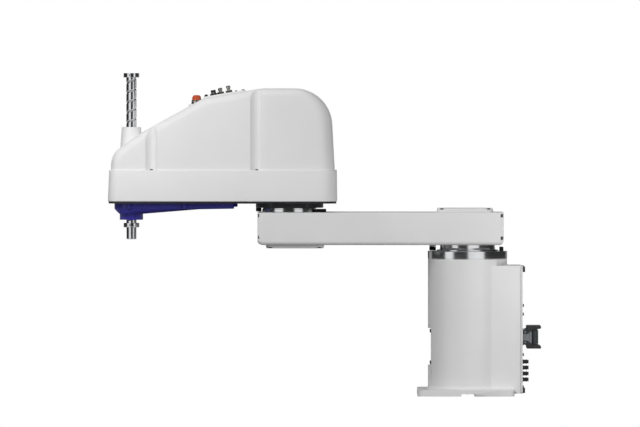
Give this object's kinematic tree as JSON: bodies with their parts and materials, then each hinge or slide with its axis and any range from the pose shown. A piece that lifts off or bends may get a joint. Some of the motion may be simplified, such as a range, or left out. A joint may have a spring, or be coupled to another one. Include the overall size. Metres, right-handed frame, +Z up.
{
  "type": "scara robot",
  "caption": "Four-axis SCARA robot arm: column base, two swinging arms and a ball screw spline shaft that slides and turns at the front end.",
  "frame": {"origin": "centre of the four base bolts, on the mounting plane, on the axis of joint 1", "axes": "+X along both arms at rest, towards the shaft; +Y the robot's left; +Z up"},
  "size_m": [1.093, 0.24, 0.8135],
  "materials": {
    "white_casting": "fine white enamel on cast aluminium",
    "white_moulding": "white moulded plastic, satin",
    "blue_moulding": "blue moulded plastic, satin",
    "dark_casting": "dark anodised aluminium",
    "raw_casting": "bare cast aluminium",
    "polished_steel": "turned and polished steel",
    "ground_steel": "ground steel",
    "black_steel": "black oxide",
    "screw_steel": "zinc plated",
    "plate_metal": "white enamel on sheet",
    "connector_grey": "grey powder coat",
    "cap_grey": "dark grey plastic",
    "black_plastic": "black plastic",
    "black_rubber": "matt black rubber",
    "motor_black": "black motor case",
    "nickel": "nickel plated brass",
    "lamp_red": "orange-red lens"
  },
  "bodies": {
    "base": {"base_casting": "white_casting", "base_locating_pin": "black_steel", "front_access_plate": "plate_metal", "front_plate_screws": "screw_steel", "rear_plate": "plate_metal", "rear_plate_big_screws": "screw_steel", "rear_plate_small_screws": "screw_steel", "connector_housing": "connector_grey", "connector_seal": "black_rubber", "connector_cap": "cap_grey", "air_fittings": "black_plastic", "j1_motor": "motor_black", "j1_reducer_ring": "polished_steel", "j1_bearing": "ground_steel", "j1_stop_posts": "black_steel"},
    "lever_top": {"connector_lever_top": "black_plastic"},
    "lever_bottom": {"connector_lever_bottom": "black_plastic"},
    "arm1": {"j1_output_hub": "polished_steel", "j1_stop_block": "black_steel", "arm1_casting": "white_casting", "arm1_rear_end_plate": "plate_metal", "arm1_front_end_plate": "plate_metal", "arm1_end_screws": "screw_steel", "arm1_top_cover": "white_casting", "arm1_bottom_cover": "white_casting", "arm1_cover_screws": "screw_steel", "j2_reducer_ring": "polished_steel", "j2_bearing": "ground_steel", "j2_stop_blocks": "black_rubber"},
    "arm2": {"j2_output_flange": "dark_casting", "j2_moving_stop": "black_steel", "arm2_casting": "dark_casting", "arm2_cover": "white_moulding", "arm2_cover_screws": "screw_steel", "lower_cover": "blue_moulding", "lower_cover_screws": "black_steel", "j2_motor": "motor_black", "z_motor": "motor_black", "u_motor": "motor_black", "z_motor_bracket": "raw_casting", "u_motor_bracket": "raw_casting", "z_belt": "black_rubber", "u_belt": "black_rubber", "nut_bearings": "ground_steel", "user_panel": "plate_metal", "signal_connector": "black_plastic", "user_air_fittings": "nickel", "button_bezel": "black_plastic", "lamp_base": "nickel", "lamp_lens": "lamp_red"},
    "brake_button": {"brake_release_button": "black_plastic"},
    "z_drive": {"z_motor_pulley": "raw_casting"},
    "u_drive": {"u_motor_pulley": "raw_casting"},
    "turning_nut": {"spline_nut": "ground_steel", "u_driven_pulley": "raw_casting"},
    "lifting_nut": {"ball_nut": "ground_steel", "z_driven_pulley": "raw_casting"},
    "quill": {"spline_shaft": "ground_steel", "shaft_collars": "black_steel"}
  },
  "joints": [
    {"name": "J1", "type": "hinge", "parent": "base", "child": "arm1", "pos_m": [0, 0, 0.364], "axis": [0, 0, 1], "range_deg": [-152, 152]},
    {"name": "J2", "type": "hinge", "parent": "arm1", "child": "arm2", "pos_m": [0.45, 0, 0.473], "axis": [0, 0, 1], "range_deg": [-152.5, 152.5]},
    {"name": "J4", "type": "hinge", "parent": "arm2", "child": "turning_nut", "pos_m": [0.85, 0, 0.5], "axis": [0, 0, 1], "range_deg": [-360, 360]},
    {"name": "J3", "type": "slide", "parent": "turning_nut", "child": "quill", "axis": [0, 0, -1], "range_m": [0, 0.18]},
    {"name": "ball_nut_turn", "type": "hinge", "parent": "turning_nut", "child": "lifting_nut", "pos_m": [0.85, 0, 0.587], "axis": [0, 0, 1], "continuous": true},
    {"name": "z_motor_turn", "type": "hinge", "parent": "arm2", "child": "z_drive", "pos_m": [0.745, 0, 0.574], "axis": [0, 0, 1], "continuous": true},
    {"name": "u_motor_turn", "type": "hinge", "parent": "arm2", "child": "u_drive", "pos_m": [0.65, 0, 0.507], "axis": [0, 0, 1], "continuous": true},
    {"name": "brake_release_press", "type": "slide", "parent": "arm2", "child": "brake_button", "axis": [-0.1703, 0, -0.9854], "range_m": [0, 0.0025], "stiffness_N_per_m": 800, "springref_m": -0.001},
    {"name": "lever_top_open", "type": "hinge", "parent": "base", "child": "lever_top", "pos_m": [-0.145, 0, 0.16], "axis": [0, 1, 0], "range_deg": [0, 30]},
    {"name": "lever_bottom_open", "type": "hinge", "parent": "base", "child": "lever_bottom", "pos_m": [-0.145, 0, 0.134], "axis": [0, -1, 0], "range_deg": [0, 30]}
  ],
  "couplings": [
    {"joint": "ball_nut_turn", "follows": "J3", "rad_per_m": 251.33},
    {"joint": "z_motor_turn", "follows": "J3", "rad_per_m": 502.65},
    {"joint": "u_motor_turn", "follows": "J4", "ratio": 2}
  ]
}
